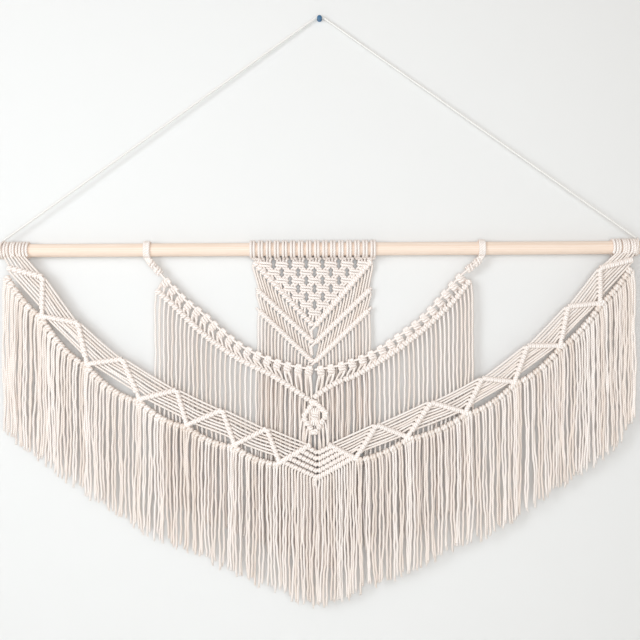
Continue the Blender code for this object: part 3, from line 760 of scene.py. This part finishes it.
def build_band(side):
    y = LOWER_Y
    cords, rows = Cords(), Cords()
    x0, x1 = LOWER_SPANS[side]
    bars = bar_points(side)
    outward = x0 if side == "left" else x1
    inward = x1 if side == "left" else x0
    over = BAND_CORDS + 1
    starts = [outward + (inward - outward) * (i + 0.5) / over for i in range(over)]
    stops = [(spot(END_BAR_LOW[side], y), spot(PEAKS[side][0], y), 0.0)]
    stops += [(spot(v, y), spot(p, y), FIRST_CORD) for v, p in bars]
    for j in range(BAND_CORDS):
        tone = rng.uniform(0.2, 1)
        here = [np.array((starts[j], DOWEL_Y - 12.5, DOWEL_Z - 10))]
        crossings = [v + (p - v) * (low + (1 - low) * (j + 0.5) / BAND_CORDS) for v, p, low in stops]
        for n, ((v, p, low), c) in enumerate(zip(stops, crossings)):
            ahead = crossings[n + 1] - c if n + 1 < len(stops) else c - crossings[n - 1]
            travel = unit(unit(c - here[-1]) + unit(ahead))
            bar = unit(p - v)
            if abs(travel @ bar) > 0.93:
                travel = unit(travel + DOWN)
            width = np.linalg.norm(p - v) * (1 - low) / BAND_CORDS
            turns, clear = wrap(c + FRONT * 1.2, bar, travel, width, radius=3.3)
            rows.add(smooth(turns, 1.6), min(width * 0.29, 3.05), tone=0.7 + tone * 0.3)
            middle = (here[-1] * 0.5 + turns[0] * 0.5 - FRONT * 0.8
                      + np.array((0, rng.normal(0, 0.3), rng.normal(-0.5, 0.6))))
            cords.add(smooth(here + [middle, turns[0], turns[1]], 3.0), 2.0, tone=tone)
            here = [turns[-1], turns[-1] * 0.45 + clear * 0.55]
    rope(rows, stops[0][0], stops[0][1])
    for (v, p, _), (_, p2, _) in zip(stops[1::2], stops[2::2]):
        # down one bar to the valley, round it, and up the next
        turn = v + unit(v - (p + p2) / 2) * 2.0
        path = smooth([p, p * 0.4 + v * 0.6, v + unit(p - v) * 6, turn, v + unit(p2 - v) * 6,
                       p2 * 0.4 + v * 0.6, p2], 2.2)
        near = np.linalg.norm(path - v, axis=1)
        rows.add(path + FRONT * 1.0, 2.3 + 2.5 * np.clip(2.2 - near / 7.5, 0, 1), tone=0.9)
    rows.make(f"zigzag_{side}_hitches", "lower_layer", KNOTTED, f"zigzag_bars_{side}", f"end_bar_{side}")
    cords.make(f"band_{side}_cords", "lower_layer", COTTON, f"band_{side}")

    heads = Cords()
    along_x = np.array((1.0, 0, 0))
    for i in range(0, over, 2):
        a = np.array((starts[i], DOWEL_Y, DOWEL_Z))
        b = np.array((starts[i + 1], DOWEL_Y, DOWEL_Z))
        a, b = a + along_x * rng.normal(0, 0.5), b + along_x * rng.normal(0, 0.5)
        path = loop_over(a, b, along_x, HEAD_R, first=112)
        bow = along_x * (1.6 if side == "left" else -1.6)
        lean = along_x * rng.normal(0, 0.8)
        route = ([a + bow + lean + FRONT * 12.5 + DOWN * 12] + path
                 + [b + bow - lean + FRONT * 12.5 + DOWN * 12])
        heads.add(smooth(route, 2.0), 2.65 * rng.uniform(0.93, 1.06), tone=rng.uniform(0.3, 1))
    heads.make(f"lower_heads_{side}", "lower_layer", KNOTTED, f"lower_larks_heads_{side}")


def scallop_route(a, b, y, sag):
    t = np.linspace(0, 1, 9)
    drop = 4.5
    return smooth([(a[0] + (b[0] - a[0]) * s, y, a[1] + (b[1] - a[1]) * s - drop - sag * s * (1 - s))
                   for s in t], 1.0)


def build_scallops(side):
    y = LOWER_Y
    holding = Cords()
    valleys = VALLEYS[side]
    for number, (first, last) in enumerate(zip(valleys, valleys[1:]), start=1):
        route = scallop_route(first, last, y, SCALLOP_SAG[side][number - 1])
        holding.add(route[::4], 2.0, tone=0.5)
        length = len(route)
        count = int(round(length / 13.6))
        bay = Cords()
        for k in range(count):
            i = int((k + 0.5) / count * (length - 1))
            bar = unit(route[min(i + 5, length - 1)] - route[max(i - 5, 0)])
            bar = bar if bar[0] > 0 else -bar
            above = unit(bar * DOWN.dot(bar) - DOWN)
            reach = length / count * 0.205
            tone = rng.uniform(0, 1)
            legs = []
            for sign in (-1, 1):
                c = route[i] + bar * sign * reach
                angle = np.radians(np.linspace(225, -150, 15))
                turn = [c + 2.9 * (math.cos(t) * above + math.sin(t) * FRONT) for t in angle]
                clear = c - above * 7.0 - FRONT * 0.6
                x = clear[0] + (clear[0] - c[0]) * 0.35 + rng.normal(0, 0.5)
                depth = y + 1.1 * sign * (1 if k % 2 else -1) + rng.normal(0, 0.6)
                legs.append(turn + [clear] + hang(clear, x, depth, fringe_end(x)))
            path = smooth(legs[0][::-1] + [route[i] - FRONT * 3.4 - above] + legs[1], 2.8)
            near = np.linalg.norm(path - route[i], axis=1)
            head = 1.35 * np.clip(2.1 - near / 5.0, 0, 1)
            bay.add(path, CORD_R * rng.uniform(0.97, 1.08) + head, tone=tone)
            fray(bay, path[-1], path[-3], tone)
            fray(bay, path[0], path[2], tone)
        bay.make(f"bay_{number}_{side}_cords", "lower_layer", COTTON, f"fringe_bay_{number}_{side}")
    holding.make(f"scallop_{side}_holding_cord", "lower_layer", KNOTTED, f"scallop_cord_{side}")


def build_chevron():
    y = LOWER_Y
    cords = Cords()
    rows = 5
    tip, notch = spot(CHEVRON_TIP, y), spot(CHEVRON_NOTCH, y)
    skirt = Cords()
    for side in ("left", "right"):
        low, high = spot(VALLEYS[side][-1], y), spot(PEAKS[side][-1], y)
        for r in range(rows):
            a = low + (high - low) * (r + 0.35) / rows
            b = tip + (notch - tip) * (r + 0.35) / rows
            length = np.linalg.norm(b - a)
            count = max(2, int(round(length / 8.6)))
            crossing = side == "right" and r == 0
            hook = [b + np.array((-4, -1, -6)), b + np.array((-5, 0, -16))] if crossing else None
            rope(cords, a, b, hook=hook, radius=2.4)
            for k in range(count):
                c = a + (b - a) * (k + 0.5) / count
                turns, clear = wrap(c, b - a, DOWN, length / count, radius=2.6)
                share = 0.34 if crossing else ROW_SHARE[side]
                cords.add(smooth(turns, 1.6), min(length / count * share, 3.0), tone=rng.uniform(0.5, 1))
            if r == 0:
                bar = unit(b - a)
                above = unit(bar * (DOWN @ bar) - DOWN)
                number = int(round(length / 6.0))
                for k in range(number + 1):
                    c = a + bar * k * length / number - above * 3
                    clear = c - above * 4.5
                    x = c[0] + (clear[0] - c[0]) * min(1, (number - k) / 4) + rng.normal(0, 0.5)
                    strand(skirt, [c, clear] + hang(clear, x, y + rng.normal(0, 0.9), fringe_end(x)))
    cords.make("chevron_hitches", "lower_layer", KNOTTED, "chevron")
    skirt.make("centre_skirt_cords", "lower_layer", COTTON, "centre_skirt")


# ------------------------------------------------------------------ stage
def see_through_from_behind(name, colour, roughness):
    """A plain painted surface that only shows, and only shades, from its front."""
    mat = bpy.data.materials.new(name)
    tree, shader = nodes_of(mat)
    shader.inputs["Base Color"].default_value = (*colour, 1)
    shader.inputs["Roughness"].default_value = roughness
    geometry = tree.nodes.new("ShaderNodeNewGeometry")
    clear = tree.nodes.new("ShaderNodeBsdfTransparent")
    mix = tree.nodes.new("ShaderNodeMixShader")
    tree.links.new(geometry.outputs["Backfacing"], mix.inputs[0])
    tree.links.new(shader.outputs[0], mix.inputs[1])
    tree.links.new(clear.outputs[0], mix.inputs[2])
    tree.links.new(mix.outputs[0], tree.nodes["Material Output"].inputs["Surface"])
    return mat


def plane(name, corners, mat):
    mesh = bpy.data.meshes.new(name)
    mesh.from_pydata(corners, [], [(0, 1, 2, 3)])
    mesh.materials.append(mat)
    obj = bpy.data.objects.new(name, mesh)
    bpy.context.scene.collection.objects.link(obj)


def area_light(name, location, target, size, power, colour):
    data = bpy.data.lights.new(name, "AREA")
    data.shape = "RECTANGLE"
    data.size, data.size_y = size
    data.energy = power
    data.color = colour
    light = bpy.data.objects.new(name, data)
    light.location = location
    light.rotation_euler = (Vector(target) - Vector(location)).to_track_quat("-Z", "Y").to_euler()
    bpy.context.scene.collection.objects.link(light)


def build_stage():
    wide, floor_z, top_z, wall_y = 3.0, -1.75, 1.6, 0.0005
    plane("wall", [(-wide, wall_y, floor_z), (wide, wall_y, floor_z), (wide, wall_y, top_z),
                   (-wide, wall_y, top_z)],
          see_through_from_behind("wall_paint", (0.79, 0.80, 0.795), 0.8))
    plane("floor", [(-wide, -4.0, floor_z), (wide, -4.0, floor_z), (wide, wall_y, floor_z),
                    (-wide, wall_y, floor_z)],
          see_through_from_behind("floor_paint", (0.78, 0.77, 0.75), 0.7))
    area_light("window", (-1.75, -2.0, -0.1), (0.4, 0, -0.15), (1.1, 1.5), 31.5, (0.89, 0.95, 1.0))
    area_light("room", (0.15, -2.3, -0.55), (0.06, 0, -0.55), (1.2, 1.2), 24.3, (0.89, 0.95, 1.0))
    area_light("behind", (0.3, 2.2, 0.2), (0, 0, -0.6), (2.0, 2.0), 18, (1.0, 0.96, 0.92))
    world = bpy.data.worlds.new("room")
    bpy.context.scene.world = world
    world.use_nodes = True
    background = world.node_tree.nodes["Background"]
    background.inputs["Color"].default_value = (1.0, 0.88, 0.78, 1)
    background.inputs["Strength"].default_value = 0.47
    bpy.context.scene.view_settings.view_transform = "Standard"


# ------------------------------------------------------------------ carried-over CAD nodes
def finish_cad(node, mat):
    obj = bpy.data.objects[node]
    obj.data.materials.clear()
    obj.data.materials.append(mat)


build_hanger()
build_centre_layer()
build_middle_layer()
for side in ("left", "right"):
    build_band(side)
    build_scallops(side)
build_chevron()
finish_cad("dowel", pine())
finish_cad("pin_head", speckled("pin_plastic", (0.035, 0.12, 0.24), (0.06, 0.17, 0.30), 0.35, 0.0, 900.0))
finish_cad("pin_needle", speckled("pin_steel", (0.55, 0.55, 0.56), (0.7, 0.7, 0.7), 0.3, 1.0, 1500.0))
build_stage()
